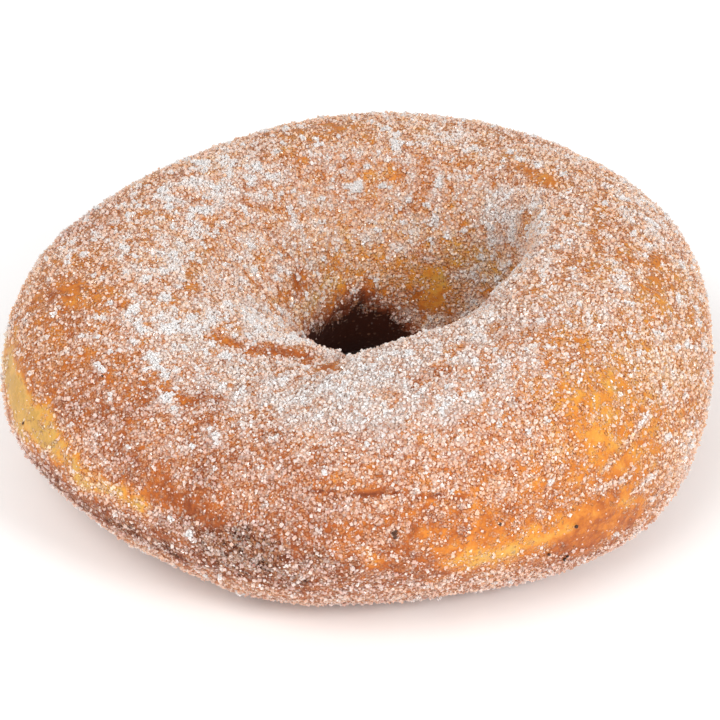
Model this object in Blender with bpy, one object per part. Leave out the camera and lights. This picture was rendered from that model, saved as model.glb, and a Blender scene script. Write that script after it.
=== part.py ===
"""Sugared ring doughnut, hand shaped and fried, lying on its paler, flatter side.

Units are metres, +Z is up, and the origin is on the resting plane under the middle of the ring's outline.
Ring angles turn from +X towards +Y. Section angles turn round the dough: 0 at the outer side,
90 at the crest, 180 at the waist of the hole and 270 on the resting band.
"""
import math
import random

import bmesh
import bpy
import numpy as np
from mathutils import Euler, Matrix, Vector, noise
from mathutils.bvhtree import BVHTree

MM = 0.001

# Driving dimensions, measured from the axis of the hole and from the resting plane
OUTER_RADIUS = 47.0 * MM
CREST_RADIUS = 28.0 * MM
HOLE_RADIUS = 14.0 * MM
CREST_HEIGHT = 32.0 * MM
SIDE_HEIGHT = 15.5 * MM
WAIST_HEIGHT = 14.0 * MM

# The underside would swell this far below the plane, so it rests on a flat band round this radius
REST_RADIUS = 28.0 * MM
REST_SWELL = 0.6 * MM

# How the hand-shaped ring departs from an even one, every 30 degrees of ring angle, in millimetres
OUTER_OFFSETS = (-2.0, 1.2, 2.2, 3.5, -0.7, -0.7, 2.3, 1.5, -1.0, -1.0, -2.2, -1.2)
CREST_OFFSETS = (-1.0, 1.5, 3.0, 3.0, 2.0, 2.0, 2.0, -1.0, -3.0, -2.5, -2.5, -2.0)
HOLE_OFFSETS = (3.5, 8.0, 6.0, 4.0, 0.0, -3.5, -5.5, -6.5, -5.5, 0.5, 0.0, 0.5)
HEIGHT_OFFSETS = (1.5, 1.0, -0.5, -1.0, -0.5, -0.5, -1.0, -2.5, -4.5, -1.0, 1.5, 2.0)
WAIST_OFFSETS = (-2.0, -6.0, -8.0, -1.5, 0.0, 1.0, 1.0, 2.0, 3.0, 2.0, 1.0, 0.0)

# How full each quarter of the section is: 2 is an ellipse, more is boxier, less is more slanting
SIDE_FULLNESS = (2.2, 1.9, 2.1, 2.1, 2.0, 2.2, 2.2, 2.0, 2.2, 2.0, 2.2, 2.0)
LIP_FULLNESS = (3.4, 4.0, 3.0, 1.8, 1.6, 1.5, 1.4, 1.5, 1.8, 2.4, 2.9, 3.2)
FOOT_FULLNESS = (1.9, 2.0, 2.2, 2.0, 2.2, 2.0, 2.1, 1.8, 2.0, 1.7, 2.0, 2.4)
UNDER_FULLNESS = 2.0

# Ridges (+) and grooves (-): start and end as (ring, section) degrees, half-width and height in mm
MARKS = (
    # the tucked fold on the near lip of the hole, and the lobe that stands over it
    ((264, 140), (228, 95), 1.6, -1.6),
    ((258, 152), (226, 108), 2.2, 0.5),
    # the crease down the far wall of the hole
    ((80, 140), (77, 200), 1.4, -1.0),
    # the dip in the near lip, to the right of the fold
    ((306, 120), (318, 119), 3.0, -1.9),
    # the long shallow wrinkle across the front
    ((250, 34), (291, 30), 1.3, -0.35),
)

# Slow rise and fall of the fried crust
CRUST_WAVE = 8.0 * MM
CRUST_WAVE_HEIGHT = 0.28 * MM

# Steps of the crust round the ring and round the section
RING_STEPS = 84
SECTION_STEPS = 44

# Lumps of damp sugar that stand proud of the crust, placed by hand as (ring, section, radius in mm)
PLACED_LUMPS = (
    (191, 63, 1.3),
    (199, 77, 1.5),
    (203, 72, 1.5),
    (220, 63, 1.3),
    (227, 54, 1.4),
    (233, 82, 1.4),
    (150, 82, 1.5),
    (121, 134, 1.4),
    (180, 81, 1.3),
    (293, 78, 1.3),
    (304, 70, 1.2),
    (64, 154, 1.4),
)
# The rest are drawn by a seeded rule, largest first
DRAWN_LUMPS = 100
LUMP_RADIUS_LARGE = 1.35 * MM
LUMP_RADIUS_SMALL = 0.75 * MM
LUMP_GAP = 3.3 * MM
# A lump's length, width and thickness, drawn between two shares of its radius, and how deep it sits
LUMP_LENGTH_SHARES = (0.85, 1.25)
LUMP_WIDTH_SHARES = (0.7, 1.0)
LUMP_THICKNESS_SHARES = (0.6, 0.8)
LUMP_SUNK = 0.3
LUMP_SEED = 23
DRAWN_SECTION_MIDDLE = 82.0
DRAWN_SECTION_SPREAD = 46.0
DRAWN_SECTION_LOWEST = -12.0
DRAWN_SECTION_HIGHEST = 172.0

# Points closer than this are one point
WELD = 0.002 * MM


def clear_scene():
    for old in list(bpy.data.objects):
        bpy.data.objects.remove(old, do_unlink=True)


def new_collection(name):
    collection = bpy.data.collections.new(name)
    bpy.context.scene.collection.children.link(collection)
    return collection


def crust_material():
    material = bpy.data.materials.new("sugared_crust")
    material.use_nodes = True
    shader = material.node_tree.nodes["Principled BSDF"]
    shader.inputs["Base Color"].default_value = (0.66, 0.36, 0.16, 1.0)
    shader.inputs["Roughness"].default_value = 0.6
    shader.inputs["Metallic"].default_value = 0.0
    return material


def around(values, ring):
    """Values at the ring angles, on the Fourier series through evenly spaced stations."""
    count = len(values)
    terms = np.fft.rfft(values) / count
    total = np.full(np.shape(ring), terms[0].real)
    for order in range(1, len(terms)):
        weight = 1.0 if 2 * order == count else 2.0
        wave = terms[order].real * np.cos(order * ring) - terms[order].imag * np.sin(order * ring)
        total = total + weight * wave
    return total


def section_points(ring, turn):
    """Points of the plain dough at ring and section angles in radians, before marks and waves."""
    outer_side = np.cos(turn) >= 0.0
    upper_side = np.sin(turn) >= 0.0
    outer = OUTER_RADIUS + MM * around(OUTER_OFFSETS, ring)
    crest = CREST_RADIUS + MM * around(CREST_OFFSETS, ring)
    hole = HOLE_RADIUS + MM * around(HOLE_OFFSETS, ring)
    crest_height = CREST_HEIGHT + MM * around(HEIGHT_OFFSETS, ring)
    waist_height = WAIST_HEIGHT + MM * around(WAIST_OFFSETS, ring)

    upper_fullness = np.where(outer_side, around(SIDE_FULLNESS, ring), around(LIP_FULLNESS, ring))
    lower_fullness = np.where(outer_side, around(FOOT_FULLNESS, ring), UNDER_FULLNESS)
    power = 2.0 / np.where(upper_side, upper_fullness, lower_fullness)
    across = np.abs(np.cos(turn)) ** power
    along = np.abs(np.sin(turn)) ** power

    pole_radius = np.where(upper_side, crest, REST_RADIUS)
    pole_height = np.where(upper_side, crest_height, -REST_SWELL)
    side_radius = np.where(outer_side, outer, hole)
    side_height = np.where(outer_side, SIDE_HEIGHT, waist_height)
    radius = pole_radius + (side_radius - pole_radius) * across
    height = side_height + (pole_height - side_height) * along
    return np.stack([radius * np.cos(ring), radius * np.sin(ring), height], axis=-1)


def point_at(ring_degrees, section_degrees):
    return section_points(np.radians(float(ring_degrees)), np.radians(float(section_degrees)))


def mark_depth(points):
    """Height added to each point by the ridges and grooves."""
    depth = np.zeros(len(points))
    for start, end, half_width, height in MARKS:
        first = point_at(*start)
        run = point_at(*end) - first
        share = np.clip((points - first) @ run / (run @ run), 0.0, 1.0)
        distance = np.linalg.norm(points - first - share[:, None] * run, axis=1)
        depth += MM * height * np.exp(-0.5 * (distance / (MM * half_width)) ** 2)
    return depth


def wave_depth(points):
    """Slow uneven rise and fall of the crust."""
    return np.array([CRUST_WAVE_HEIGHT * noise.noise(Vector(point) / CRUST_WAVE) for point in points])


def mesh_points(mesh):
    points = np.empty(3 * len(mesh.vertices))
    mesh.vertices.foreach_get("co", points)
    return points.reshape(-1, 3)


def mesh_normals(mesh):
    normals = np.empty(3 * len(mesh.vertices))
    mesh.vertex_normals.foreach_get("vector", normals)
    return normals.reshape(-1, 3)


def set_points(mesh, points):
    mesh.vertices.foreach_set("co", points.reshape(-1))
    mesh.update()


def make_crust():
    """A torus whose points move onto the uneven section, then along their normals by the relief."""
    tube_radius = 0.5 * CREST_HEIGHT
    bpy.ops.mesh.primitive_torus_add(
        major_segments=RING_STEPS,
        minor_segments=SECTION_STEPS,
        major_radius=CREST_RADIUS,
        minor_radius=tube_radius,
    )
    crust = bpy.context.object
    crust.name = "doughnut"
    mesh = crust.data
    mesh.name = "doughnut"
    even = mesh_points(mesh)
    ring = np.arctan2(even[:, 1], even[:, 0])
    turn = np.arctan2(even[:, 2], np.hypot(even[:, 0], even[:, 1]) - CREST_RADIUS)
    plain = section_points(ring, turn)
    set_points(mesh, plain)
    relief = mark_depth(plain) + wave_depth(plain)
    shaped = plain + relief[:, None] * mesh_normals(mesh)
    shaped[:, 2] = np.maximum(shaped[:, 2], 0.0)
    set_points(mesh, shaped)
    return crust


def lump_places(draw):
    """Ring and section degrees and radius of every lump: the placed ones, then drawn ones, largest first."""
    places = [(ring, section, MM * radius) for ring, section, radius in PLACED_LUMPS]
    taken = [Vector(point_at(ring, section)) for ring, section, radius in places]
    radii = [
        LUMP_RADIUS_LARGE + (LUMP_RADIUS_SMALL - LUMP_RADIUS_LARGE) * order / DRAWN_LUMPS
        for order in range(DRAWN_LUMPS)
    ]
    for radius in radii:
        while True:
            ring = draw.uniform(0.0, 360.0)
            section = draw.gauss(DRAWN_SECTION_MIDDLE, DRAWN_SECTION_SPREAD)
            if not DRAWN_SECTION_LOWEST < section < DRAWN_SECTION_HIGHEST:
                continue
            point = Vector(point_at(ring, section))
            if min((point - other).length for other in taken) > LUMP_GAP:
                break
        taken.append(point)
        places.append((ring, section, radius))
    return places


def make_lump(number, surface, place, draw, collection):
    """One uneven lump of sugar, flattened along the crust's normal and partly sunk in it."""
    ring, section, radius = place
    spot, normal = surface.find_nearest(Vector(point_at(ring, section)))[:2]
    mesh = bpy.data.meshes.new(f"lump_{number}")
    shape = bmesh.new()
    bmesh.ops.create_icosphere(shape, subdivisions=1, radius=radius)
    length = draw.uniform(*LUMP_LENGTH_SHARES)
    width = draw.uniform(*LUMP_WIDTH_SHARES)
    thickness = draw.uniform(*LUMP_THICKNESS_SHARES)
    stretch = Matrix.Diagonal((length, width, thickness, 1.0))
    spin = Euler((0.0, 0.0, draw.uniform(0.0, math.tau))).to_matrix().to_4x4()
    lean = normal.to_track_quat("Z", "Y").to_matrix().to_4x4()
    centre = Matrix.Translation(spot - LUMP_SUNK * radius * normal)
    shape.transform(centre @ lean @ spin @ stretch)
    shape.to_mesh(mesh)
    shape.free()
    lump = bpy.data.objects.new(mesh.name, mesh)
    lump.hide_render = True
    lump.display_type = "WIRE"
    collection.objects.link(lump)


def fuse(crust, collection):
    """One union of the crust and all lumps, applied, after which the lumps are removed."""
    union = crust.modifiers.new("sugar_union", "BOOLEAN")
    union.operation = "UNION"
    union.operand_type = "COLLECTION"
    union.collection = collection
    union.solver = "MANIFOLD"
    bpy.context.view_layer.update()
    bpy.context.view_layer.objects.active = crust
    bpy.ops.object.modifier_apply(modifier=union.name)
    for lump in list(collection.objects):
        bpy.data.objects.remove(lump, do_unlink=True)
    bpy.data.collections.remove(collection)


def bodies_of(shape):
    """The separate bodies of a mesh, each as a list of the faces that edges join, smallest body first."""
    left = set(shape.faces)
    found = []
    while left:
        seed = left.pop()
        body = [seed]
        for face in body:
            for edge in face.edges:
                for other in edge.link_faces:
                    if other in left:
                        left.remove(other)
                        body.append(other)
        found.append(body)
    return sorted(found, key=len)


def clean(mesh):
    """Triangles only, no doubled points, and neither loose scraps nor sealed hollows."""
    shape = bmesh.new()
    shape.from_mesh(mesh)
    bmesh.ops.remove_doubles(shape, verts=shape.verts, dist=WELD)
    bmesh.ops.triangulate(shape, faces=shape.faces)
    for scrap in bodies_of(shape)[:-1]:
        bmesh.ops.delete(shape, geom=scrap, context="FACES")
    shape.to_mesh(mesh)
    shape.free()


def centre_on_origin(mesh):
    points = mesh_points(mesh)
    middle = 0.5 * (points.min(axis=0) + points.max(axis=0))
    set_points(mesh, points - np.array([middle[0], middle[1], 0.0]))


def build():
    clear_scene()
    food = new_collection("sugared_ring_doughnut")
    sugar = new_collection("sugar_lumps")
    crust = make_crust()
    for old in list(crust.users_collection):
        old.objects.unlink(crust)
    food.objects.link(crust)
    crust.data.materials.append(crust_material())

    draw = random.Random(LUMP_SEED)
    surface = BVHTree.FromObject(crust, bpy.context.evaluated_depsgraph_get())
    for number, place in enumerate(lump_places(draw)):
        make_lump(number, surface, place, draw, sugar)
    fuse(crust, sugar)
    clean(crust.data)
    centre_on_origin(crust.data)
    crust.data.shade_smooth()


build()
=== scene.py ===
"""Looks of the sugared ring doughnut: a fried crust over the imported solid, and its coat of sugar crystals.

Units are metres, +Z is up. Ring angles turn from +X towards +Y about the axis of the hole.
Section angles turn round the dough: 0 at the outer side, 90 at the crest, 180 on the wall of the hole
and 270 on the resting band. The tables give both in degrees.
"""

import math

import bpy
import numpy as np
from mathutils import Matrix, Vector, noise
from mathutils.bvhtree import BVHTree


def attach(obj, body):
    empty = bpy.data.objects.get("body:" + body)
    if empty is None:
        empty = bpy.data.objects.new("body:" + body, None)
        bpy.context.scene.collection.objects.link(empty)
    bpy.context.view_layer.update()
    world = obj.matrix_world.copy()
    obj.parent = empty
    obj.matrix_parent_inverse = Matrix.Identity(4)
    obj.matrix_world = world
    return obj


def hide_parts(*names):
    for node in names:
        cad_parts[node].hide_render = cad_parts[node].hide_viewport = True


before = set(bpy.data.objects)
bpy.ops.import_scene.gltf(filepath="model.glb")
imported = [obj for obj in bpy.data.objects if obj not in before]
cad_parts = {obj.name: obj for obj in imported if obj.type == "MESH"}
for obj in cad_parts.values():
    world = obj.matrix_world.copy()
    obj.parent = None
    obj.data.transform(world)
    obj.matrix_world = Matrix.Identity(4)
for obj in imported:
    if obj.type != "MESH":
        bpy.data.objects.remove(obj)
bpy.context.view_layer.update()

MM = 0.001
SEED = 7

# The tube's centre line: a circle about the axis of the hole
HOLE_AXIS = (2.026 * MM, -2.477 * MM)
TUBE_RADIUS = 30.0 * MM
TUBE_HEIGHT = 15.5 * MM

# Length on the crust of one degree round the ring and of one degree round the section
RING_DEGREE = TUBE_RADIUS * math.pi / 180.0
SECTION_DEGREE = TUBE_HEIGHT * math.pi / 180.0

# Steps of the crust round the ring and round the section
RING_STEPS = 444
SECTION_STEPS = 168

# The solid's surface is smoothed, first broadly and then finely in rounds, to tell the plain crust from the
# lumps of sugar on it. A lump starts one step above the plain crust, and counts in full a half mm higher.
BROAD_SMOOTHING = 2.2 * MM
FINE_SMOOTHING = 0.8 * MM
FINE_ROUNDS = 3
LUMP_STEP = 0.12 * MM
LUMP_FULL = 0.5 * MM
LUMP_SMOOTHING = 0.35 * MM
LUMP_SHARE = 0.85


def wrapped(angle):
    """Degrees brought into -180 to 180."""
    return (angle + 180.0) % 360.0 - 180.0


def smooth(field, ring_sigma, section_sigma):
    """Gaussian smoothing of a field that closes on itself both ways; the widths are in steps."""
    ring_waves = np.fft.fftfreq(field.shape[0])[:, None] * ring_sigma
    section_waves = np.fft.fftfreq(field.shape[1])[None, :] * section_sigma
    pass_band = np.exp(-2.0 * math.pi ** 2 * (ring_waves ** 2 + section_waves ** 2))
    return np.fft.ifft2(np.fft.fft2(field) * pass_band).real


class Crust:
    """A grid of points round the ring and round the section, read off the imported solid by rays."""

    def __init__(self, node):
        self.ring = np.arange(RING_STEPS) * 2.0 * math.pi / RING_STEPS
        solid = node.data
        tree = BVHTree.FromPolygons(
            [vertex.co for vertex in solid.vertices],
            [polygon.vertices for polygon in solid.polygons],
        )
        even = np.arange(SECTION_STEPS) * 2.0 * math.pi / SECTION_STEPS
        reach = self.cast(tree, even).mean(axis=0)
        self.turn = self.evenly_spaced(even, reach)
        self.reach = self.cast(tree, self.turn)
        self.ring_step = TUBE_RADIUS * 2.0 * math.pi / RING_STEPS
        self.section_step = np.mean(self.reach) * 2.0 * math.pi / SECTION_STEPS
        self.ring_degrees = np.degrees(self.ring)[:, None] + np.zeros((1, SECTION_STEPS))
        self.section_degrees = np.degrees(self.turn)[None, :] + np.zeros((RING_STEPS, 1))

    def centres(self):
        """Points of the tube's centre line."""
        x = HOLE_AXIS[0] + TUBE_RADIUS * np.cos(self.ring)
        y = HOLE_AXIS[1] + TUBE_RADIUS * np.sin(self.ring)
        return np.stack([x, y, np.full(RING_STEPS, TUBE_HEIGHT)], axis=-1)

    def directions(self, turn):
        """Unit vectors from the centre line at the given section angles."""
        outward = np.stack([np.cos(self.ring), np.sin(self.ring), np.zeros(RING_STEPS)], axis=-1)
        upward = np.array([0.0, 0.0, 1.0])
        return np.cos(turn)[None, :, None] * outward[:, None, :] + np.sin(turn)[None, :, None] * upward

    def cast(self, tree, turn):
        """How far the solid reaches from the centre line, in each direction."""
        centres = self.centres()
        rays = self.directions(turn)
        reach = np.empty((RING_STEPS, len(turn)))
        for i, centre in enumerate(centres):
            start = Vector(centre)
            for j, ray in enumerate(rays[i]):
                reach[i, j] = tree.ray_cast(start, Vector(ray))[3]
        return reach

    @staticmethod
    def evenly_spaced(turn, reach):
        """Section angles whose points lie evenly along the mean section."""
        closed_turn = np.append(turn, 2.0 * math.pi)
        closed_reach = np.append(reach, reach[0])
        x = closed_reach * np.cos(closed_turn)
        z = closed_reach * np.sin(closed_turn)
        length = np.append(0.0, np.cumsum(np.hypot(np.diff(x), np.diff(z))))
        return np.interp(np.arange(SECTION_STEPS) * length[-1] / SECTION_STEPS, length, closed_turn)

    def blurred(self, field, width):
        """The field smoothed by a width in metres."""
        return smooth(field, width / self.ring_step, width / self.section_step)

    def part_lumps(self):
        """Parts the solid's surface into plain crust and the fused lumps of sugar that stand on it."""
        plain = self.blurred(self.reach, BROAD_SMOOTHING)
        for _ in range(FINE_ROUNDS):
            plain = self.blurred(np.minimum(self.reach, plain + LUMP_STEP), FINE_SMOOTHING)
        lumps = np.clip(self.reach - plain - LUMP_STEP, 0.0, None)
        return plain, lumps

    def points_at(self, reach):
        """Points at the given reach from the centre line, none below the table."""
        points = self.centres()[:, None, :] + reach[:, :, None] * self.directions(self.turn)
        points[..., 2] = np.maximum(points[..., 2], 0.0)
        return points


def spans(points):
    """Vectors to the next point round the ring and round the section."""
    along_ring = np.roll(points, -1, axis=0) - points
    along_section = np.roll(points, -1, axis=1) - points
    return along_ring, along_section


def normals_of(points):
    """Unit normals of the closed grid of points."""
    along_ring = np.roll(points, -1, axis=0) - np.roll(points, 1, axis=0)
    along_section = np.roll(points, -1, axis=1) - np.roll(points, 1, axis=1)
    normal = np.cross(along_ring, along_section)
    return normal / np.linalg.norm(normal, axis=-1, keepdims=True)


# Soft patches on the crust: ring, section, half-width round the ring, half-width round the section
# (all in degrees) and the amount that is added in the middle

# Cover: the share of the crust that crystals hide
COVER_BASE = 0.60
COVER_LIMITS = (-0.5, 1.3)
COVER_PATCHES = (
    # thicker sugar: on the near and left lips, along the back rim, and in spots down the sides
    (254, 104, 32, 18, 0.26),
    (264, 78, 36, 15, 0.27),
    (228, 108, 8, 8, 0.16),
    (266, 92, 12, 9, 0.12),
    (232, 82, 6, 4, 0.35),
    (297, 98, 7, 8, 0.25),
    (216, 141, 20, 13, 0.30),
    (193, 88, 14, 12, 0.14),
    (208, 104, 12, 16, 0.14),
    (146, 96, 12, 12, 0.18),
    (188, 138, 20, 14, 0.20),
    (176, 103, 18, 8, 0.26),
    (139, 86, 14, 18, 0.16),
    (14, 62, 22, 14, 0.22),
    (67, 82, 8, 14, 0.20),
    (202, 75, 6, 5, 0.35),
    (227, 55, 4, 6, 0.30),
    (41, 122, 12, 12, 0.30),
    (126, 71, 8, 9, 0.14),
    (118, 107, 9, 9, 0.10),
    (78, 60, 7, 8, 0.14),
    (26, 102, 9, 6, 0.12),
    (334, 78, 12, 7, 0.20),
    (186, 78, 5, 6, 0.25),
    (214, 94, 11, 12, 0.28),
    (270, 67, 24, 8, 0.10),
    (186, -5, 6, 7, 0.25),
    (330, -8, 10, 14, 0.28),
    (78, 153, 6, 3, 0.35),
    (52, 168, 9, 26, 0.18),
    (282, 54, 8, 8, 0.10),
    (306, 66, 7, 9, 0.10),
    (124, 148, 20, 14, 0.14),
    (306, 8, 9, 8, 0.14),
    (282, -18, 12, 9, 0.16),
    (330, 44, 10, 14, 0.12),
    (219, 17, 10, 7, 0.30),
    (306, 6, 8, 8, 0.12),
    (354, 18, 8, 8, 0.14),
    # thinner sugar: down the right front, on the pale lines, on the walls of the hole and on bare spots
    (313, 36, 12, 36, -0.46),
    (290, -2, 20, 18, -0.40),
    (282, 22, 16, 12, -0.14),
    (192, 70, 4, 9, -0.60),
    (189, 52, 8, 9, -0.50),
    (188, 114, 6, 4, -0.45),
    (194, 101, 6, 3, -0.35),
    (198, 11, 16, 9, -0.62),
    (234, 14, 14, 10, -0.40),
    (308, -14, 9, 14, -0.40),
    (218, -12, 18, 9, -0.20),
    (315, 80, 8, 8, -0.24),
    (348, 62, 14, 7, -0.30),
    (355, 79, 3, 4, -0.50),
    (2, 93, 5, 3, -0.50),
    (344, 103, 4, 3, -0.45),
    (40, 96, 9, 5, -0.45),
    (85, 112, 6, 6, -0.32),
    (102, 72, 9, 18, -0.28),
    (110, 158, 11, 11, -0.26),
    (80, 162, 8, 7, -0.12),
    (90, 119, 9, 10, -0.10),
    (138, 163, 13, 5, -0.75),
    (67, 188, 7, 18, -0.30),
    (88, 176, 22, 18, -0.20),
    (58, 158, 8, 18, -0.26),
    (124, 178, 20, 10, -0.18),
    (151, 168, 9, 9, -0.26),
    (205, 162, 10, 8, -0.22),
    (354, 60, 8, 12, -0.30),
    (312, 0, 12, 22, -0.20),
    (60, 60, 14, 9, -0.18),
    (114, 66, 5, 5, -0.10),
    (194, 97, 9, 8, -0.10),
    (282, 42, 7, 6, -0.10),
    (256, 17, 8, 8, -0.12),
    (235, 42, 6, 6, -0.16),
    (247, 31, 8, 6, -0.14),
    (223, 66, 6, 6, -0.26),
    (247, 54, 7, 6, -0.10),
    (223, 102, 6, 6, -0.14),
    (267, 38, 12, 4, -0.20),
    (42, 91, 7, 6, -0.20),
    (346, 66, 9, 7, -0.14),
    (332, -4, 8, 8, -0.10),
    (44, 146, 12, 16, -0.14),
    (62, 178, 14, 20, -0.22),
    (198, 106, 7, 7, -0.20),
    (138, 90, 7, 6, -0.12),
    (70, 198, 10, 10, -0.25),
    (247, 115, 7, 8, -0.14),
    (236, 108, 18, 12, -0.10),
    (204, 36, 22, 20, -0.18),
    (222, 46, 10, 12, -0.14),
    (354, 34, 12, 10, -0.20),
    (30, 72, 10, 14, -0.16),
    (186, 128, 12, 10, -0.12),
    (256, 128, 6, 12, -0.20),
    (244, 118, 18, 8, -0.12),
    (247, -17, 12, 9, -0.14),
    (46, 94, 14, 12, -0.14),
    (150, 68, 12, 10, -0.18),
    (186, 42, 5, 6, -0.20),
    (190, 130, 14, 14, -0.08),
    (174, 102, 6, 6, -0.12),
    (208, 134, 12, 14, -0.08),
    (246, 73, 4, 4, -0.45),
    (286, 86, 5, 6, -0.26),
    (231, 68, 4, 5, -0.35),
)
# More or less sugar all round the ring: lowest and highest section angle, soft edge and the amount added
COVER_BANDS = (
    (-60.0, 24.0, 5.0, -0.20),
    (24.0, 70.0, 8.0, -0.08),
    (115.0, 172.0, 8.0, 0.05),
    (245.0, 300.0, 5.0, -0.30),
)

# Tone: how browned the crust is
TONE_BASE = 0.45
TONE_LIMITS = (0.0, 1.3)
TONE_PATCHES = (
    # browner: the left front, below the pale line, spots of the lips and the walls of the hole; the two
    # patches low on the far wall are painted shade
    (236, 34, 34, 30, 0.10),
    (262, 32, 46, 50, 0.08),
    (234, 15, 18, 8, 0.06),
    (214, -13, 22, 11, 0.40),
    (250, -2, 14, 11, 0.32),
    (247, -18, 16, 9, 0.26),
    (258, 0, 9, 26, 0.12),
    (262, -2, 34, 22, 0.05),
    (206, 40, 26, 24, 0.04),
    (156, 58, 20, 16, 0.06),
    (60, 58, 16, 12, 0.10),
    (273, -12, 8, 11, 0.24),
    (306, -18, 9, 18, 0.12),
    (137, 163, 14, 5, 0.18),
    (70, 160, 5, 8, 0.20),
    (286, 88, 6, 5, 0.15),
    (231, 68, 6, 8, 0.12),
    # painted shade low on the far wall of the hole
    (110, 208, 26, 14, 0.30),
    (132, 194, 14, 8, 0.30),
    (162, 44, 8, 8, 0.22),
    # paler: the line where the dough floated, the right front, the waist of the hole, the back and left lips
    (200, 10, 16, 9, -0.50),
    (226, 6, 8, 5, -0.42),
    (291, -5, 12, 9, -0.34),
    (268, 0, 4, 7, -0.25),
    (316, 45, 20, 40, -0.12),
    (346, 50, 22, 34, -0.08),
    (140, 173, 34, 4, -0.30),
    (70, 160, 60, 26, -0.15),
    (188, 7, 6, 8, -0.22),
    (46, 150, 14, 20, -0.10),
    (70, 76, 50, 24, -0.05),
    (196, 104, 40, 24, -0.05),
    (66, 188, 7, 16, -0.08),
    (102, 173, 14, 9, -0.10),
)
# The underside is browner: lowest and highest section angle, soft edge and the amount added
TONE_BANDS = ((250.0, 330.0, 8.0, 0.16),)

# Height: a dip inside the fold on the near lip, and a swelling low on the far wall of the hole
RELIEF_PATCHES = (
    (257, 134, 7, 22, -0.40 * MM),
    (90, 228, 50, 16, 0.70 * MM),
)

# Lines on the crust, through (ring, section) points in degrees, and their half-widths
# The tucked fold, bare and brown
FOLD = ((218, 108), (222, 120), (226, 126), (233, 136), (240, 141), (249, 125), (258, 113))
FOLD_HALF_WIDTH = 0.95 * MM
# The wrinkle across the front, in short dark stretches
WRINKLES = (
    ((260, 32), (263, 32)),
    ((266, 33), (274, 33)),
    ((277, 31), (281, 30)),
    ((283, 28), (285, 28)),
)
WRINKLE_HALF_WIDTH = 0.28 * MM
# Streaks of sugar on the bare right front
STREAKS = (
    ((308, 12), (315, 10)),
    ((316, 0), (320, 3)),
    ((310, 21), (315, 26), (321, 32)),
)
STREAK_HALF_WIDTH = 0.6 * MM

# Shade is painted on the wall of the hole below the first line, nearly black; above it, up to the second,
# a brown rim is partly real browning and partly painted shade. Both lines go through (ring, section) points;
# the painted shade and the rim have a soft edge and end on the underside
HOLE_SHADE_LINE = (
    (20, 242), (60, 238), (72, 232), (79, 223), (82, 215), (87, 208), (94, 205), (100, 205), (109, 202),
    (119, 201), (133, 196), (150, 190), (190, 180), (222, 162), (235, 155), (262, 158), (290, 185),
    (330, 225),
)
RIM_LINE = (
    (20, 236), (60, 228), (73, 216), (79, 211), (86, 197), (93, 184), (102, 186), (118, 187), (135, 183),
    (150, 178), (190, 168), (222, 156), (262, 154), (290, 180), (330, 220),
)
DARK_EDGE = 2.5
DARK_END = 262.0

# Zones of the crust: a band of ring angles and one of section angles, each with its soft edge
# Under the near lip, where the camera doesn't see it, little painted shade is kept and the wall is only as
# dark as a rim
NEAR_WALL = ((198.0, 330.0, 5.0), (170.0, 272.0, 3.0))
NEAR_WALL_SHADE_SHARE = 0.10
NEAR_WALL_RIM = 0.60
# The front has fewer clumps of sugar and a more even cover
CLUMP_POOR_FRONT = ((215.0, 330.0, 8.0), (-60.0, 80.0, 8.0))
FRONT_CLUMP_LOSS = 0.12
EVEN_FRONT = ((205.0, 340.0, 8.0), (-60.0, 100.0, 8.0))
# On the near lip the sugar lies in a thick layer of clear grains and of grains painted dim as shade
GLASSY_LIP = ((195.0, 335.0, 10.0), (50.0, 140.0, 8.0))

# White clumps of sugar on the crust: where noise passes the threshold, and round these places, more often
# (ring, section and radius in mm)
CLUMP_THRESHOLD = 0.46
CLUMP_EDGE = 0.25
PLACED_CLUMP_GAIN = 0.6
# Clumps keep to sugared crust: there are none below this cover, and they are whole from 0.25 above it
CLUMP_COVER = 0.6
CLUMP_COVER_RISE = 4.0
CLUMPS = (
    (170, 70, 0.9),
    (179, 74, 0.8),
    (174, 111, 0.8),
    (206, 118, 0.9),
    (208, 55, 0.7),
    (209, 48, 0.7),
    (208, 41, 0.8),
    (200, 47, 0.8),
    (225, 56, 1.1),
    (228, 52, 0.9),
    (209, 89, 1.2),
    (225, 98, 1.0),
    (242, 33, 0.7),
    (239, 46, 0.7),
    (196, 74, 1.0),
    (200, 76, 1.1),
    (205, 78, 1.0),
)
# Fields of strewn clumps: ring, section, half-widths of the field, how many and their radius in mm
CLUMP_FIELDS = (
    (192, 96, 34, 32, 30, 0.7, 1.4),
    (142, 98, 22, 34, 12, 0.9, 1.5),
    (84, 100, 40, 44, 14, 0.7, 1.2),
    (10, 88, 40, 30, 10, 0.5, 0.9),
)

# What each mark on the crust adds to its cover, its tone and its height
COVER_OF_MARKS = {
    "streak": 0.7, "clump": 0.5, "lump": 0.3, "fold": -0.75, "wrinkle": -0.8, "rim_browning_and_shade": -0.5, "painted_hole_shade": -1.0,
}
# The painted hole shade takes the tone to nearly black; the rim's brown is partly painted shade
TONE_OF_MARKS = {"rim_browning_and_shade": 0.36, "painted_hole_shade": 0.66, "fold": 0.18, "wrinkle": 0.30}
HEIGHT_OF_MARKS = {"fold": -0.40 * MM, "wrinkle": -0.25 * MM, "clump": 0.20 * MM}

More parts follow.
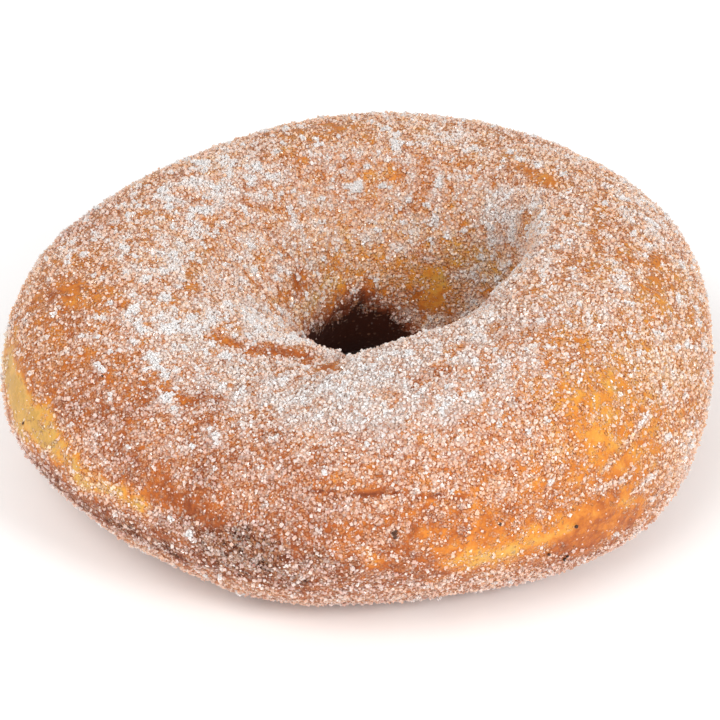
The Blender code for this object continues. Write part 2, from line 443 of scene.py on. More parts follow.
# Noises on the crust: size of the features, seed and octaves
RING_NOISE = (4.5 * MM, 1, 3)
SECTION_NOISE = (4.5 * MM, 2, 3)
FINE_RING_NOISE = (0.9 * MM, 10, 2)
FINE_SECTION_NOISE = (0.9 * MM, 11, 2)
CLUMP_NOISE = (1.3 * MM, 12, 2)
COVER_NOISE = (2.2 * MM, 5, 3)
FINE_COVER_NOISE = (0.9 * MM, 6, 2)
TONE_NOISE = (5.0 * MM, 8, 2)
FINE_TONE_NOISE = (1.6 * MM, 9, 2)
HEIGHT_NOISE = (3.0 * MM, 3, 3)
FINE_HEIGHT_NOISE = (0.9 * MM, 4, 2)
# Each seed moves the noise by this many features; each octave is finer than the last by the gap, and weaker
SEED_SHIFT = (17.3, 7.9, 3.1)
OCTAVE_GAP = 2.0
OCTAVE_FALL = 0.8

# How strong the noises are: the wander of patches and of lines in degrees, cover and tone, and heights
RING_WANDER = 5.0
SECTION_WANDER = 7.0
LINE_SHARE_OF_WANDER = 0.2
LINE_RING_WANDER = 0.8
LINE_SECTION_WANDER = 1.6
PATCHINESS = 0.33
PATCHINESS_OFF_FRONT = 0.11
FINE_PATCHINESS = 0.22
TONE_MOTTLE = 0.10
HEIGHT_MOTTLE = 0.16 * MM
SUGARED_ROUGHNESS = 0.10 * MM
# Where crystals cover the crust, it lies deeper by up to this much, so that they don't swell its form
CRYSTAL_BED = 0.20 * MM


def noise_field(points, size, seed, octaves):
    """Smooth noise of about -1 to 1 at each point, with features about size metres across."""
    shift = Vector([seed * step for step in SEED_SHIFT])
    places = [Vector(point) + shift for point in points.reshape(-1, 3) / size]
    values = [noise.fractal(place, OCTAVE_FALL, OCTAVE_GAP, octaves) for place in places]
    return np.array(values).reshape(points.shape[:-1])


def patches(rings, sections, table):
    """Sum of soft patches at the ring and section angles."""
    total = np.zeros(np.shape(rings))
    for ring, section, ring_half, section_half, amount in table:
        across = wrapped(rings - ring) / ring_half
        along = wrapped(sections - section) / section_half
        total += amount * np.exp(-(across ** 2 + along ** 2) ** 1.5)
    return total


def band(angles, low, high, edge):
    """1 between two angles, falling to 0 over the edge."""
    middle = 0.5 * (low + high)
    half = 0.5 * (high - low)
    return 1.0 / (1.0 + np.exp((np.abs(wrapped(angles - middle)) - half) / edge))


def bands(sections, table):
    """Sum of soft bands round the whole ring at the section angles."""
    return sum(amount * band(sections, low, high, edge) for low, high, edge, amount in table)


def zone(rings, sections, ring_band, section_band):
    """1 where both angles are in their bands, falling to 0 over the edges."""
    return band(rings, *ring_band) * band(sections, *section_band)


def below_line(rings, sections, line):
    """1 on the wall of the hole below a line of (ring, section) points, down to the underside."""
    line_rings, line_sections = np.array(line, float).T
    return band(sections, np.interp(rings, line_rings, line_sections, period=360.0), DARK_END, DARK_EDGE)


def distance_to(rings, sections, line):
    """Distance on the crust to a line through (ring, section) points."""
    nearest = np.full(np.shape(rings), np.inf)
    scale = np.array([RING_DEGREE, SECTION_DEGREE])
    for (ring_a, section_a), (ring_b, section_b) in zip(line, line[1:]):
        run = scale * (wrapped(ring_b - ring_a), section_b - section_a)
        across = RING_DEGREE * wrapped(rings - ring_a)
        along = SECTION_DEGREE * wrapped(sections - section_a)
        share = np.clip((across * run[0] + along * run[1]) / (run @ run), 0.0, 1.0)
        nearest = np.minimum(nearest, np.hypot(across - share * run[0], along - share * run[1]))
    return nearest


def near_lines(rings, sections, lines, half_width):
    """1 on the lines, falling to 0 past the half-width."""
    nearest = np.min([distance_to(rings, sections, line) for line in lines], axis=0)
    return np.exp(-(nearest / half_width) ** 2)


def strewn_clumps():
    """Ring angle, section angle and radius of each clump in the fields."""
    draw = np.random.default_rng(SEED + 2)
    clumps = []
    for ring, section, ring_half, section_half, number, smallest, largest in CLUMP_FIELDS:
        across = ring + ring_half * draw.uniform(-1.0, 1.0, number)
        along = section + section_half * draw.uniform(-1.0, 1.0, number)
        clumps.extend(zip(across, along, draw.uniform(smallest, largest, number)))
    return clumps


def clumped(rings, sections, clumps):
    """1 in the middle of each clump, falling to 0 past its radius."""
    total = np.zeros(np.shape(rings))
    for ring, section, radius in clumps:
        across = RING_DEGREE * wrapped(rings - ring)
        along = SECTION_DEGREE * wrapped(sections - section)
        total = np.maximum(total, np.exp(-(np.hypot(across, along) / (radius * MM)) ** 3))
    return total


class Surface:
    """The finished crust: its points and normals, how sugared it is at each, and its tone: browning, and
    painted shade in the hole.

    The marks are the fold, the wrinkles and so on: each is a field that is 1 on the mark and 0 off it.
    """

    def __init__(self, crust):
        plain, lumps = crust.part_lumps()
        rough = crust.points_at(plain)
        ring_wander = RING_WANDER * noise_field(rough, *RING_NOISE)
        section_wander = SECTION_WANDER * noise_field(rough, *SECTION_NOISE)
        rings = crust.ring_degrees + ring_wander
        sections = crust.section_degrees + section_wander
        line_rings = crust.ring_degrees + LINE_SHARE_OF_WANDER * ring_wander
        line_rings += LINE_RING_WANDER * noise_field(rough, *FINE_RING_NOISE)
        line_sections = crust.section_degrees + LINE_SHARE_OF_WANDER * section_wander
        line_sections += LINE_SECTION_WANDER * noise_field(rough, *FINE_SECTION_NOISE)

        near_wall = zone(line_rings, line_sections, *NEAR_WALL)
        shade_kept = 1.0 - (1.0 - NEAR_WALL_SHADE_SHARE) * near_wall
        less_rimmed = 1.0 - (1.0 - NEAR_WALL_RIM) * near_wall
        placed_clumps = clumped(line_rings, line_sections, [*CLUMPS, *strewn_clumps()])
        ragged = noise_field(rough, *CLUMP_NOISE) - CLUMP_THRESHOLD
        ragged -= FRONT_CLUMP_LOSS * zone(rings, sections, *CLUMP_POOR_FRONT)
        self.marks = {
            "fold": near_lines(line_rings, line_sections, (FOLD,), FOLD_HALF_WIDTH),
            "wrinkle": near_lines(line_rings, line_sections, WRINKLES, WRINKLE_HALF_WIDTH),
            "streak": near_lines(line_rings, line_sections, STREAKS, STREAK_HALF_WIDTH),
            # painted shade on the lower wall of the hole, mostly left off under the near lip
            "painted_hole_shade": shade_kept * below_line(line_rings, line_sections, HOLE_SHADE_LINE),
            # brown rim: partly real browning, partly painted shade
            "rim_browning_and_shade": less_rimmed * below_line(line_rings, line_sections, RIM_LINE),
            "lump": np.clip(lumps / LUMP_FULL, 0.0, 1.0),
            "clump": np.clip((ragged + PLACED_CLUMP_GAIN * placed_clumps) / CLUMP_EDGE, 0.0, 1.0),
        }
        self.cover = self.cover_at(rough, rings, sections)
        self.marks["clump"] *= np.clip(CLUMP_COVER_RISE * (self.cover - CLUMP_COVER), 0.0, 1.0)
        self.glassy = zone(rings, sections, *GLASSY_LIP)
        self.tone = self.tone_at(rough, rings, sections)
        reach = plain + LUMP_SHARE * crust.blurred(lumps, LUMP_SMOOTHING) + self.relief(crust, rough)
        self.points = crust.points_at(reach)
        self.normals = normals_of(self.points)

    def marked(self, amounts):
        """Sum of the marks, each times its amount."""
        return sum(amount * self.marks[name] for name, amount in amounts.items())

    def cover_at(self, points, rings, sections):
        """Share of the crust that crystals hide, before they are drawn; below 0 it is bare."""
        cover = COVER_BASE + patches(rings, sections, COVER_PATCHES) + bands(sections, COVER_BANDS)
        patchiness = PATCHINESS + PATCHINESS_OFF_FRONT * (1.0 - zone(rings, sections, *EVEN_FRONT))
        cover += patchiness * noise_field(points, *COVER_NOISE)
        cover += FINE_PATCHINESS * noise_field(points, *FINE_COVER_NOISE)
        cover += self.marked(COVER_OF_MARKS)
        return np.clip(cover, *COVER_LIMITS)

    def tone_at(self, points, rings, sections):
        """Browning: 0 is pale yellow, 0.45 golden orange, 0.75 red-brown, 1 dark brown; the hole's painted
        shade is added too.
        """
        tone = TONE_BASE + patches(rings, sections, TONE_PATCHES) + bands(sections, TONE_BANDS)
        tone += TONE_MOTTLE * noise_field(points, *TONE_NOISE)
        tone += TONE_MOTTLE * noise_field(points, *FINE_TONE_NOISE)
        tone += self.marked(TONE_OF_MARKS)
        return np.clip(tone, *TONE_LIMITS)

    def relief(self, crust, points):
        """Height of the finished crust over the solid's plain crust."""
        sugared = np.clip(self.cover, 0.0, 1.0)
        height = HEIGHT_MOTTLE * noise_field(points, *HEIGHT_NOISE)
        height += SUGARED_ROUGHNESS * noise_field(points, *FINE_HEIGHT_NOISE) * sugared
        height += self.marked(HEIGHT_OF_MARKS) - CRYSTAL_BED * sugared
        return height + patches(crust.ring_degrees, crust.section_degrees, RELIEF_PATCHES)


def grid_faces():
    """Four-sided faces of the closed grid of points."""
    ring = np.arange(RING_STEPS)[:, None]
    section = np.arange(SECTION_STEPS)[None, :]
    here = ring * SECTION_STEPS + section
    next_ring = (ring + 1) % RING_STEPS * SECTION_STEPS + section
    next_section = ring * SECTION_STEPS + (section + 1) % SECTION_STEPS
    both = (ring + 1) % RING_STEPS * SECTION_STEPS + (section + 1) % SECTION_STEPS
    return np.stack([here, next_ring, both, next_section], axis=-1).reshape(-1, 4)


def new_piece(name, points, faces, values, material, smooth_shaded):
    """A mesh object with a float value at each point for each named attribute."""
    mesh = bpy.data.meshes.new(name)
    mesh.from_pydata(points.reshape(-1, 3), [], faces.tolist())
    for label, numbers in values.items():
        attribute = mesh.attributes.new(label, "FLOAT", "POINT")
        attribute.data.foreach_set("value", np.ascontiguousarray(numbers, np.float32).reshape(-1))
    mesh.polygons.foreach_set("use_smooth", np.full(len(mesh.polygons), smooth_shaded))
    mesh.materials.append(material)
    mesh.validate()
    piece = bpy.data.objects.new(name, mesh)
    bpy.context.scene.collection.objects.link(piece)
    return piece


# Crystal shapes, as corner points and faces: a block, a chip with eight faces and a splinter with six
BLOCK = (
    np.array([(x, y, z) for z in (-0.5, 0.5) for y in (-0.5, 0.5) for x in (-0.5, 0.5)]),
    np.array([(0, 2, 3, 1), (4, 5, 7, 6), (0, 1, 5, 4), (2, 6, 7, 3), (0, 4, 6, 2), (1, 3, 7, 5)]),
)
CHIP = (
    0.5 * np.array([(1, 0, 0), (0, 1, 0), (-1, 0, 0), (0, -1, 0), (0, 0, 1), (0, 0, -1)], float),
    np.array([(0, 1, 4), (1, 2, 4), (2, 3, 4), (3, 0, 4), (1, 0, 5), (2, 1, 5), (3, 2, 5), (0, 3, 5)]),
)
SPLINTER = (
    0.5 * np.array([(1.1, 0, 0), (-0.6, 0.9, 0), (-0.6, -0.9, 0), (0, 0, 1), (0, 0, -1)], float),
    np.array([(0, 1, 3), (1, 2, 3), (2, 0, 3), (1, 0, 4), (2, 1, 4), (0, 2, 4)]),
)
# Loose crystals of each kind: how many, their shape, shortest and longest edge, and how high they ride,
# lowest and highest, as a share of the edge
SUGAR_KINDS = {
    "sugar_fine": (33200, SPLINTER, (0.27 * MM, 0.42 * MM), (-0.15, 0.2)),
    "sugar_medium": (24900, CHIP, (0.42 * MM, 0.62 * MM), (-0.15, 0.25)),
    "sugar_coarse": (16600, BLOCK, (0.30 * MM, 0.50 * MM), (-0.05, 0.35)),
    "sugar_heaps": (24900, CHIP, (0.36 * MM, 0.60 * MM), (0.0, 0.7)),
}
# How each kind follows the cover, and how many lie astray on bare crust
FINE_POWER = 0.8
FINE_STRAYS = 0.06
MEDIUM_STRAYS = 0.02
COARSE_POWER = 1.3
HEAP_START = 0.55
HEAP_POWER = 1.2
HEAPS_ON_CLUMPS = 2.5

# Crystals are uneven: small ones are commoner, two sides are shorter than the longest by these shares,
# and the corners are off their places
EDGE_SKEW = 1.3
SECOND_SIDE = (0.65, 1.0)
THIRD_SIDE = (0.5, 0.9)
CORNER_SHIFT = 0.16

# Where sugar lies thick, its crystals are whiter and show less of the crust through them
PILE_START = 0.60
PILE_SPAN = 0.5
PILE_MILKINESS = 0.85
PILE_WHITENESS = 0.45
GLASSY_WHITENESS = 0.3
CLUMP_WHITENESS = 0.6
GLASSY_THICKNESS = 0.6
THIN_TINT = 0.52
CLEAR_SKEW = 0.6

# Burnt crumbs stuck to the crust: ring, section, how many bits lie together and their size in mm
CRUMBS = (
    (273, 13.5, 7, 0.42),
    (290, 12, 1, 0.3),
    (299, -17, 2, 0.35),
    (303, -25, 3, 0.4),
    (304, -2, 1, 0.3),
    (203, 6, 2, 0.3),
    (212, 48, 1, 0.3),
)
CRUMB_EDGES = (0.8, 1.3)
CRUMB_RIDE = (-0.1, 0.3)


def turns(draw, count):
    """Random rotation matrices, evenly over all orientations."""
    w, x, y, z = draw.normal(size=(4, count))
    size = np.sqrt(w * w + x * x + y * y + z * z)
    w, x, y, z = w / size, x / size, y / size, z / size
    rows = [
        [1 - 2 * (y * y + z * z), 2 * (x * y - w * z), 2 * (x * z + w * y)],
        [2 * (x * y + w * z), 1 - 2 * (x * x + z * z), 2 * (y * z - w * x)],
        [2 * (x * z - w * y), 2 * (y * z + w * x), 1 - 2 * (x * x + y * y)],
    ]
    return np.array(rows).transpose(2, 0, 1)


def spots_on(surface, weight, count, draw):
    """Points drawn evenly on the crust by the given weight for each unit of area, with their normals."""
    along_ring, along_section = spans(surface.points)
    area = np.linalg.norm(np.cross(along_ring, along_section), axis=-1)
    passed = np.cumsum((area * weight).reshape(-1))
    cells = np.searchsorted(passed, (np.arange(count) + draw.random(count)) * passed[-1] / count)
    u = draw.random((count, 1))
    v = draw.random((count, 1))
    places = surface.points.reshape(-1, 3)[cells]
    places = places + u * along_ring.reshape(-1, 3)[cells] + v * along_section.reshape(-1, 3)[cells]
    return places, surface.normals.reshape(-1, 3)[cells], cells


def crystals(places, normals, shape, edges, ride, draw):
    """Corner points of irregular crystals, partly sunk in the crust or lying on other crystals."""
    corner_points = shape[0]
    count = len(places)
    shortest, longest = edges
    edge = shortest + (longest - shortest) * draw.random((count, 1)) ** EDGE_SKEW
    second = draw.uniform(*SECOND_SIDE, count)
    third = draw.uniform(*THIRD_SIDE, count)
    sides = edge * np.stack([np.ones(count), second, third], axis=-1)
    shift = draw.uniform(-CORNER_SHIFT, CORNER_SHIFT, (count, len(corner_points), 3))
    corners = corner_points[None] * (1.0 + shift)
    corners = np.einsum("nij,nkj->nki", turns(draw, count), corners * sides[:, None, :])
    height = edge * draw.uniform(*ride, (count, 1))
    return corners + (places + height * normals)[:, None, :]


def joined(name, points, shape, values, material):
    """One mesh of many crystals, with a value for each crystal for each named attribute."""
    corner_points, corner_faces = shape
    first = np.arange(len(points))[:, None, None] * len(corner_points)
    faces = (corner_faces[None] + first).reshape(-1, corner_faces.shape[1])
    corner_values = {label: np.repeat(numbers, len(corner_points)) for label, numbers in values.items()}
    return new_piece(name, points, faces, corner_values, material, False)


def scatter(name, surface, weight, count, shape, edges, ride, material, draw):
    """One joined mesh of loose sugar crystals, drawn by weight."""
    places, normals, cells = spots_on(surface, weight, count, draw)
    points = crystals(places, normals, shape, edges, ride, draw)
    kept = points[..., 2].min(axis=1) > 0.0
    below = cells[kept]
    number = len(below)
    pile = np.clip(surface.cover.reshape(-1)[below] - PILE_START, 0.0, PILE_SPAN) / PILE_SPAN
    clump = surface.marks["clump"].reshape(-1)[below]
    glassy = surface.glassy.reshape(-1)[below]
    white = np.maximum((PILE_WHITENESS + GLASSY_WHITENESS * glassy) * pile, CLUMP_WHITENESS * clump)
    thickness = np.maximum(pile, GLASSY_THICKNESS * glassy)
    tint_range = THIN_TINT + (1.0 - THIN_TINT) * thickness
    milkiness = PILE_MILKINESS * np.maximum(thickness, clump)
    values = {
        "tint": white + (1.0 - white) * draw.random(number) * tint_range,
        "polish": draw.random(number),
        "tone": surface.tone.reshape(-1)[below],
        "clear": draw.random(number) ** CLEAR_SKEW * (1.0 - milkiness),
        # painted shade: some crystals of the lip are drawn dim
        "dim_shade": draw.random(number) * glassy * (1.0 - clump),
    }
    return joined(name, points[kept], shape, values, material)


def sugar_weights(surface):
    """How thickly each kind of crystal is strewn at each place."""
    cover = np.clip(surface.cover, 0.0, 1.0)
    outside_hole = 1.0 - surface.marks["rim_browning_and_shade"]
    heap = np.clip(surface.cover - HEAP_START, 0.0, None) ** HEAP_POWER
    heap += outside_hole * surface.marks["lump"] + HEAPS_ON_CLUMPS * surface.marks["clump"]
    return {
        "sugar_fine": cover ** FINE_POWER + FINE_STRAYS * outside_hole,
        "sugar_medium": cover + MEDIUM_STRAYS * outside_hole,
        "sugar_coarse": cover ** COARSE_POWER,
        "sugar_heaps": heap,
    }


def add_sugar(surface):
    """Loose crystals of each kind, one mesh for each."""
    draw = np.random.default_rng(SEED)
    material = sugar_material()
    weights = sugar_weights(surface)
    pieces = []
    for name, kind in SUGAR_KINDS.items():
        pieces.append(scatter(name, surface, weights[name], *kind, material, draw))
    return pieces


def add_crumbs(surface, crust):
    """Burnt crumbs, each a few dark bits together."""
    draw = np.random.default_rng(SEED + 1)
    points = []
    for ring, section, number, size in CRUMBS:
        across = RING_DEGREE * wrapped(crust.ring_degrees - ring)
        along = SECTION_DEGREE * wrapped(crust.section_degrees - section)
        away = np.hypot(across, along)
        spot = np.unravel_index(np.argmin(away), away.shape)
        places = surface.points[spot] + size * MM * draw.uniform(-1.0, 1.0, (number, 3))
        normals = np.tile(surface.normals[spot], (number, 1))
        edges = [share * size * MM for share in CRUMB_EDGES]
        points.append(crystals(places, normals, BLOCK, edges, CRUMB_RIDE, draw))
    points = np.concatenate(points)
    return joined("burnt_crumbs", points, BLOCK, {"char": draw.random(len(points))}, crumb_material())


class Nodes:
    """A material's node tree, built in short steps."""

    def __init__(self, name):
        self.material = bpy.data.materials.new(name)
        self.material.use_nodes = True
        self.tree = self.material.node_tree
        self.shader = self.tree.nodes["Principled BSDF"]
        self.place = self.add("ShaderNodeTexCoord").outputs["Object"]

    def add(self, kind, **settings):
        node = self.tree.nodes.new(kind)
        for key, value in settings.items():
            setattr(node, key, value)
        return node

    def link(self, source, target):
        self.tree.links.new(source, target)

    def put(self, target, value):
        """Links the socket to another one, or sets it to a plain value."""
        if isinstance(value, bpy.types.NodeSocket):
            self.link(value, target)
        else:
            target.default_value = value

    def finish(self, inputs):
        """Gives the shader its inputs, by name."""
        for name, value in inputs.items():
            self.put(self.shader.inputs[name], value)
        return self.material

    def attribute(self, name):
        return self.add("ShaderNodeAttribute", attribute_name=name).outputs["Fac"]

    def noise(self, size, detail, roughness):
        node = self.add("ShaderNodeTexNoise")
        self.link(self.place, node.inputs["Vector"])
        node.inputs["Scale"].default_value = 1.0 / size
        node.inputs["Detail"].default_value = detail
        node.inputs["Roughness"].default_value = roughness
        return node.outputs["Fac"]

    def cells(self, size):
        """Voronoi cells: the distance to each cell's middle, and a random colour for each cell."""
        node = self.add("ShaderNodeTexVoronoi")
        self.link(self.place, node.inputs["Vector"])
        node.inputs["Scale"].default_value = 1.0 / size
        return node.outputs["Distance"], node.outputs["Color"]

    def channels(self, colour):
        node = self.add("ShaderNodeSeparateColor")
        self.link(colour, node.inputs["Color"])
        return node.outputs[0], node.outputs[1], node.outputs[2]

    def math(self, operation, first, second):
        node = self.add("ShaderNodeMath", operation=operation)
        self.put(node.inputs[0], first)
        self.put(node.inputs[1], second)
        return node.outputs[0]

    def spread(self, value, from_low, from_high, to_low, to_high):
        """The value mapped from one range to another, and kept within it."""
        node = self.add("ShaderNodeMapRange")
        self.link(value, node.inputs["Value"])
        for socket, number in zip(node.inputs[1:5], (from_low, from_high, to_low, to_high)):
            socket.default_value = number
        return node.outputs["Result"]

    def ramp(self, value, stops):
        node = self.add("ShaderNodeValToRGB")
        self.link(value, node.inputs["Fac"])
        elements = node.color_ramp.elements
        while len(elements) < len(stops):
            elements.new(0.5)
        for element, (position, colour) in zip(elements, stops):
            element.position = position
            element.color = (*colour, 1.0)
        return node.outputs["Color"]

    def mix(self, share, first, second):
        node = self.add("ShaderNodeMix", data_type="RGBA")
        self.put(node.inputs["Factor"], share)
        self.put(node.inputs[6], first)
        self.put(node.inputs[7], second)
        return node.outputs[2]

    def bump(self, height, distance, under=None):
        """Small relief of the given depth, on top of another one if there is one under it."""
        node = self.add("ShaderNodeBump")
        self.link(height, node.inputs["Height"])
        node.inputs["Distance"].default_value = distance
        if under is not None:
            self.link(under, node.inputs["Normal"])
        return node.outputs["Normal"]


# Crust colours by tone; the nearly black last stop is the shade painted in the hole
CRUST_COLOURS = (
    (0.00, (0.60, 0.335, 0.080)),
    (0.11, (0.73, 0.41, 0.10)),
    (0.24, (0.76, 0.34, 0.058)),
    (0.42, (0.66, 0.215, 0.034)),
    (0.60, (0.44, 0.115, 0.025)),
    (0.78, (0.24, 0.058, 0.020)),
    (1.00, (0.045, 0.010, 0.004)),
)
# Fine sugar that is bedded in the crust, by a random tint for each grain
FROST_COLOURS = (
    (0.00, (0.75, 0.34, 0.16)),
    (0.40, (0.82, 0.48, 0.31)),
    (1.00, (0.87, 0.75, 0.68)),
)
# Powdery sugar, by cover or clump
POWDER_COLOURS = (
    (0.50, (0.78, 0.62, 0.55)),
    (1.00, (0.82, 0.76, 0.74)),
)
# Painted shade between bedded grains: dark red-brown in the gaps, partly the crust's own colour, and
# grey-brown in the powder
GAP_SHADE_COLOUR = (0.30, 0.075, 0.02, 1.0)
POWDER_SHADE_COLOUR = (0.44, 0.28, 0.21, 1.0)

# Noises in the materials: size of the features, detail and roughness
MOTTLE = (1.7 * MM, 3.0, 0.6)
PORES = (0.55 * MM, 2.0, 0.6)
SPRINKLING = (0.9 * MM, 3.0, 0.65)
FLAWS = (0.25 * MM, 2.0, 0.6)
CHARRING = (0.2 * MM, 2.0, 0.6)

# How one value turns into another, from the first two numbers to the last two
MOTTLE_TO_TONE = (0.3, 0.7, -0.10, 0.10)
PORES_TO_TONE = (0.3, 0.7, -0.07, 0.07)
SPRINKLING_TO_COVER = (0.3, 0.7, -0.25, 0.25)
COVER_TO_DENSITY = (-0.15, 0.45, 0.0, 1.0)
COVER_TO_MILKINESS = (0.0, 0.9, 0.38, 0.92)
COVER_TO_POWDER = (0.50, 1.25, 0.0, 0.85)
POWDER_TO_PAINTED_SHADE = (0.10, 0.85, 0.0, 0.42)
FROST_TO_DULLNESS = (0.0, 0.6, 0.38, 0.55)
TONE_TO_DULLNESS = (0.6, 1.0, 0.0, 0.4)
ROOM_TO_GRAIN = (-0.06, 0.06, 0.0, 1.0)
DISTANCE_TO_HEIGHT = (0.36, 0.66, 1.0, 0.0)
DRAW_TO_STRENGTH = (0.0, 1.0, 0.4, 1.0)
FLAWS_TO_TINT = (0.3, 0.7, -0.12, 0.12)
CLEAR_TO_SHARE = (0.15, 1.0, 0.0, 0.85)
DIM_SHADE_TO_SHARE = (0.55, 0.92, 0.0, 0.75)
POLISH_TO_ROUGHNESS = (0.0, 1.0, 0.08, 0.35)
CHARRING_TO_CHAR = (0.3, 0.7, -0.3, 0.3)

# Two layers of bedded grains: their size and their height
COARSE_FROST = 0.42 * MM
COARSE_FROST_HEIGHT = 0.12 * MM
FINE_FROST = 0.25 * MM
FINE_FROST_HEIGHT = 0.06 * MM
PORE_DEPTH = 0.10 * MM
GAP_SHADE_SHARE = 0.90
CLUMP_POWDER = 0.7
POWDER_SHARE = 0.8


def frost(made, density, milkiness, size):
    """One layer of bedded grains: its share of the colour, its height, its gaps, where shade is painted, and
    each grain's tint.
    """
    distance, grain = made.cells(size)
    presence, strength, tint = made.channels(grain)
    here = made.spread(made.math("SUBTRACT", density, presence), *ROOM_TO_GRAIN)
    height = made.math("MULTIPLY", here, made.spread(distance, *DISTANCE_TO_HEIGHT))
    gap_shade = made.math("SUBTRACT", here, height)
    share = made.math("MULTIPLY", milkiness, made.spread(strength, *DRAW_TO_STRENGTH))
    return made.math("MULTIPLY", height, share), height, gap_shade, tint


def crust_material():
    """Fried crust: golden to red-brown, mottled and pored, frosted with fine sugar between the crystals;
    shade is painted between the grains and in the hole.
    """
    made = Nodes("fried_crust")
    pores = made.noise(*PORES)
    tone = made.math("ADD", made.attribute("tone"), made.spread(made.noise(*MOTTLE), *MOTTLE_TO_TONE))
    tone = made.math("ADD", tone, made.spread(pores, *PORES_TO_TONE))
    colour = made.ramp(tone, CRUST_COLOURS)

    sprinkling = made.spread(made.noise(*SPRINKLING), *SPRINKLING_TO_COVER)
    cover = made.math("ADD", made.attribute("cover"), sprinkling)
    density = made.spread(cover, *COVER_TO_DENSITY)
    milkiness = made.spread(cover, *COVER_TO_MILKINESS)
    coarse_share, coarse_height, coarse_gap, tint = frost(made, density, milkiness, COARSE_FROST)
    fine_share, fine_height, fine_gap, _ = frost(made, density, milkiness, FINE_FROST)
    # Painted shade in the gaps between bedded grains, partly the crust's own red-brown
    gap_shade = made.math("MULTIPLY", made.math("MULTIPLY", coarse_gap, fine_gap), GAP_SHADE_SHARE)
    colour = made.mix(gap_shade, colour, GAP_SHADE_COLOUR)

    clump = made.attribute("white")
    powder = made.spread(cover, *COVER_TO_POWDER)
    powder = made.math("MAXIMUM", powder, made.math("MULTIPLY", clump, CLUMP_POWDER))
    share = made.math("MAXIMUM", made.math("MAXIMUM", coarse_share, fine_share), powder)
    colour = made.mix(share, colour, made.ramp(tint, FROST_COLOURS))
    whiteness = made.ramp(made.math("MAXIMUM", cover, clump), POWDER_COLOURS)
    colour = made.mix(made.math("MULTIPLY", powder, POWDER_SHARE), colour, whiteness)
    # Painted shade between the grains where the powder lies thick
    painted_powder_shade = made.math("MULTIPLY", fine_gap, made.spread(powder, *POWDER_TO_PAINTED_SHADE))
    colour = made.mix(painted_powder_shade, colour, POWDER_SHADE_COLOUR)

    dullness = made.spread(share, *FROST_TO_DULLNESS)
    dullness = made.math("ADD", dullness, made.spread(tone, *TONE_TO_DULLNESS))
    relief = made.bump(pores, PORE_DEPTH)
    relief = made.bump(coarse_height, COARSE_FROST_HEIGHT, under=relief)
    relief = made.bump(fine_height, FINE_FROST_HEIGHT, under=relief)
    return made.finish({
        "Base Color": colour,
        "Roughness": dullness,
        "Specular IOR Level": 0.15,
        "Subsurface Weight": 0.10,
        "Subsurface Radius": (1.0, 0.4, 0.15),
        "Subsurface Scale": 0.8 * MM,
        "Normal": relief,
    })


# The crust's colour seen through clear crystals, by tone; the dark stops also carry painted shade, as in the
# hole
CLEAR_COLOURS = (
    (0.00, (0.92, 0.74, 0.46)),
    (0.42, (0.90, 0.56, 0.34)),
    (0.70, (0.62, 0.36, 0.30)),
    (1.00, (0.34, 0.17, 0.14)),
)
# Milky crystals, by tint
SUGAR_TINTS = (
    (0.00, (0.77, 0.50, 0.38)),
    (0.30, (0.83, 0.69, 0.62)),
    (0.65, (0.86, 0.80, 0.775)),
    (1.00, (0.90, 0.885, 0.885)),
)
# Some crystals in the thick layer on the lip are painted brownish: painted shade for the dark edges and gaps
# of clear grains that the light passes through
DIM_SHADE_COLOUR = (0.46, 0.30, 0.23, 1.0)
CRYSTAL_BUMP = 0.03 * MM


def sugar_material():
    """Milky to clear sugar crystals, each with its own tint; the clear ones take on the crust's colour, and
    some on the lip are painted dim as shade.
    """
    made = Nodes("sugar_crystal")
    flaws = made.noise(*FLAWS)
    tint = made.math("ADD", made.attribute("tint"), made.spread(flaws, *FLAWS_TO_TINT))
    milky = made.ramp(tint, SUGAR_TINTS)
    crust_below = made.ramp(made.attribute("tone"), CLEAR_COLOURS)
    colour = made.mix(made.spread(made.attribute("clear"), *CLEAR_TO_SHARE), milky, crust_below)
    dim_shade_share = made.spread(made.attribute("dim_shade"), *DIM_SHADE_TO_SHARE)
    return made.finish({
        "Base Color": made.mix(dim_shade_share, colour, DIM_SHADE_COLOUR),
        "Roughness": made.spread(made.attribute("polish"), *POLISH_TO_ROUGHNESS),
        "IOR": 1.54,
        "Subsurface Weight": 0.7,
        "Subsurface Radius": (0.90, 0.88, 0.86),
        "Subsurface Scale": 0.15 * MM,
        "Normal": made.bump(flaws, CRYSTAL_BUMP),
    })


CHAR_COLOURS = (
    (0.0, (0.012, 0.007, 0.005)),
    (1.0, (0.10, 0.035, 0.015)),
)
CHAR_BUMP = 0.05 * MM


def crumb_material():
    """Burnt crumb: nearly black, with browner bits."""
    made = Nodes("burnt_crumb")
    charring = made.noise(*CHARRING)
    char = made.math("ADD", made.attribute("char"), made.spread(charring, *CHARRING_TO_CHAR))
    return made.finish({
        "Base Color": made.ramp(char, CHAR_COLOURS),
        "Roughness": 0.6,
        "Normal": made.bump(charring, CHAR_BUMP),
    })


# The view: seen from 34 degrees above the table, through a long lens
VIEW_DISTANCE = 420.0 * MM
VIEW_ELEVATION = math.radians(34.0)
AIM_HEIGHT = 14.0 * MM
SENSOR_WIDTH = 36.0
LENS = 156.66
NEAREST_IN_VIEW = 10.0 * MM
# The camera aims at this pixel of the square picture
PICTURE_SIZE = 720.0
AIM_PIXEL = (374.1, 362.6)


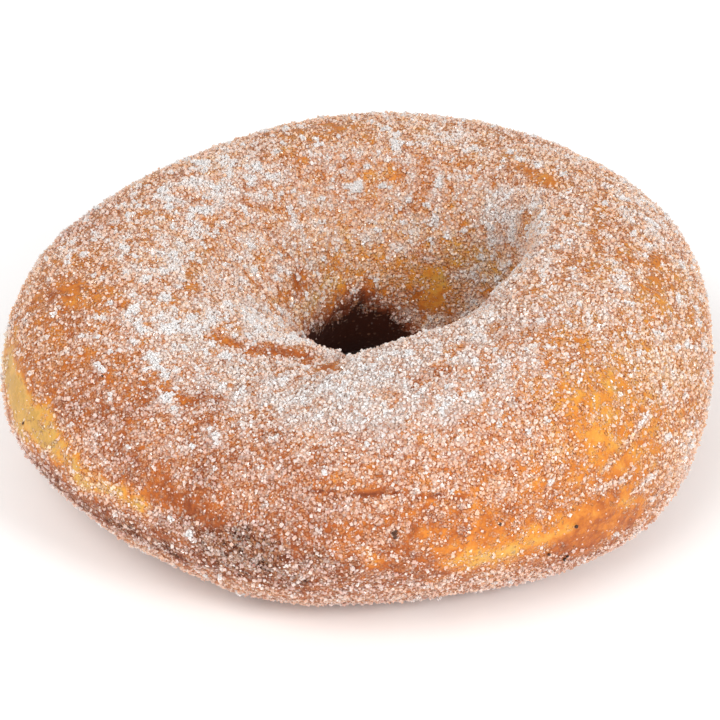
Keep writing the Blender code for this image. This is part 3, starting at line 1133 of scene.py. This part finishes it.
def add_camera():
    camera = bpy.data.objects.new("camera", bpy.data.cameras.new("camera"))
    bpy.context.scene.collection.objects.link(camera)
    aim = Vector((*HOLE_AXIS, AIM_HEIGHT))
    back = Vector((0.0, -math.cos(VIEW_ELEVATION), math.sin(VIEW_ELEVATION)))
    camera.location = aim + VIEW_DISTANCE * back
    camera.rotation_euler = back.to_track_quat("Z", "Y").to_euler()
    camera.data.sensor_width = SENSOR_WIDTH
    camera.data.lens = LENS
    camera.data.shift_x = 0.5 - AIM_PIXEL[0] / PICTURE_SIZE
    camera.data.shift_y = AIM_PIXEL[1] / PICTURE_SIZE - 0.5
    camera.data.clip_start = NEAREST_IN_VIEW
    bpy.context.scene.camera = camera


# Round lights that aim at the doughnut: name, place, width, power and colour
LIGHT_AIM = (0.0, 0.0, 15.0 * MM)
LIGHTS = (
    ("key", (300.0 * MM, -340.0 * MM, 320.0 * MM), 160.0 * MM, 1.23, (1.0, 0.995, 0.985)),
    ("fill", (-220.0 * MM, -310.0 * MM, 420.0 * MM), 350.0 * MM, 1.38, (1.0, 0.985, 0.965)),
)
WHITE = (1.0, 1.0, 1.0, 1.0)
SKY_STRENGTH = 0.55
FLOOR_WIDTH = 4.0
FLOOR_DROP = 0.02 * MM
FLOOR_COLOUR = (0.95, 0.95, 0.95, 1.0)
# The floor glows a little beyond the doughnut, so that it stays nearly white
GLOW_START = 20.0 * MM
GLOW_FULL = 75.0 * MM
FLOOR_GLOW = 0.27


def add_light(name, place, width, power, colour):
    light = bpy.data.lights.new(name, "AREA")
    light.shape = "DISK"
    light.size = width
    light.energy = power
    light.color = colour
    lamp = bpy.data.objects.new(name, light)
    lamp.location = place
    lamp.rotation_euler = (Vector(place) - Vector(LIGHT_AIM)).to_track_quat("Z", "Y").to_euler()
    bpy.context.scene.collection.objects.link(lamp)


def floor_material():
    """Pale matt floor, with a faint glow away from the doughnut."""
    made = Nodes("pale_floor")
    away = made.add("ShaderNodeVectorMath", operation="LENGTH")
    made.link(made.place, away.inputs[0])
    return made.finish({
        "Base Color": FLOOR_COLOUR,
        "Roughness": 0.9,
        "Emission Color": WHITE,
        "Emission Strength": made.spread(away.outputs["Value"], GLOW_START, GLOW_FULL, 0.0, FLOOR_GLOW),
    })


def add_studio():
    """A pale floor, a key light from the right front, a fill light from the left front, and a bright sky."""
    bpy.ops.mesh.primitive_plane_add(size=FLOOR_WIDTH, location=(0.0, 0.0, -FLOOR_DROP))
    floor = bpy.context.object
    floor.name = "floor"
    floor.data.materials.append(floor_material())

    for light in LIGHTS:
        add_light(*light)
    world = bpy.data.worlds.new("bright_room")
    world.use_nodes = True
    background = world.node_tree.nodes["Background"]
    background.inputs["Color"].default_value = WHITE
    background.inputs["Strength"].default_value = SKY_STRENGTH
    bpy.context.scene.world = world
    bpy.context.scene.view_settings.view_transform = "Standard"


def build():
    """The crust, the crumbs and the sugar, with the studio and the camera round them."""
    grid = Crust(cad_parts["doughnut"])
    surface = Surface(grid)
    values = {"cover": surface.cover, "tone": surface.tone, "white": surface.marks["clump"]}
    crust = new_piece("crust", surface.points, grid_faces(), values, crust_material(), True)
    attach(crust, "root")
    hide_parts("doughnut")
    crumbs = add_crumbs(surface, grid)
    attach(crumbs, "root")
    for piece in add_sugar(surface):
        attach(piece, "root")
    add_studio()
    add_camera()


build()
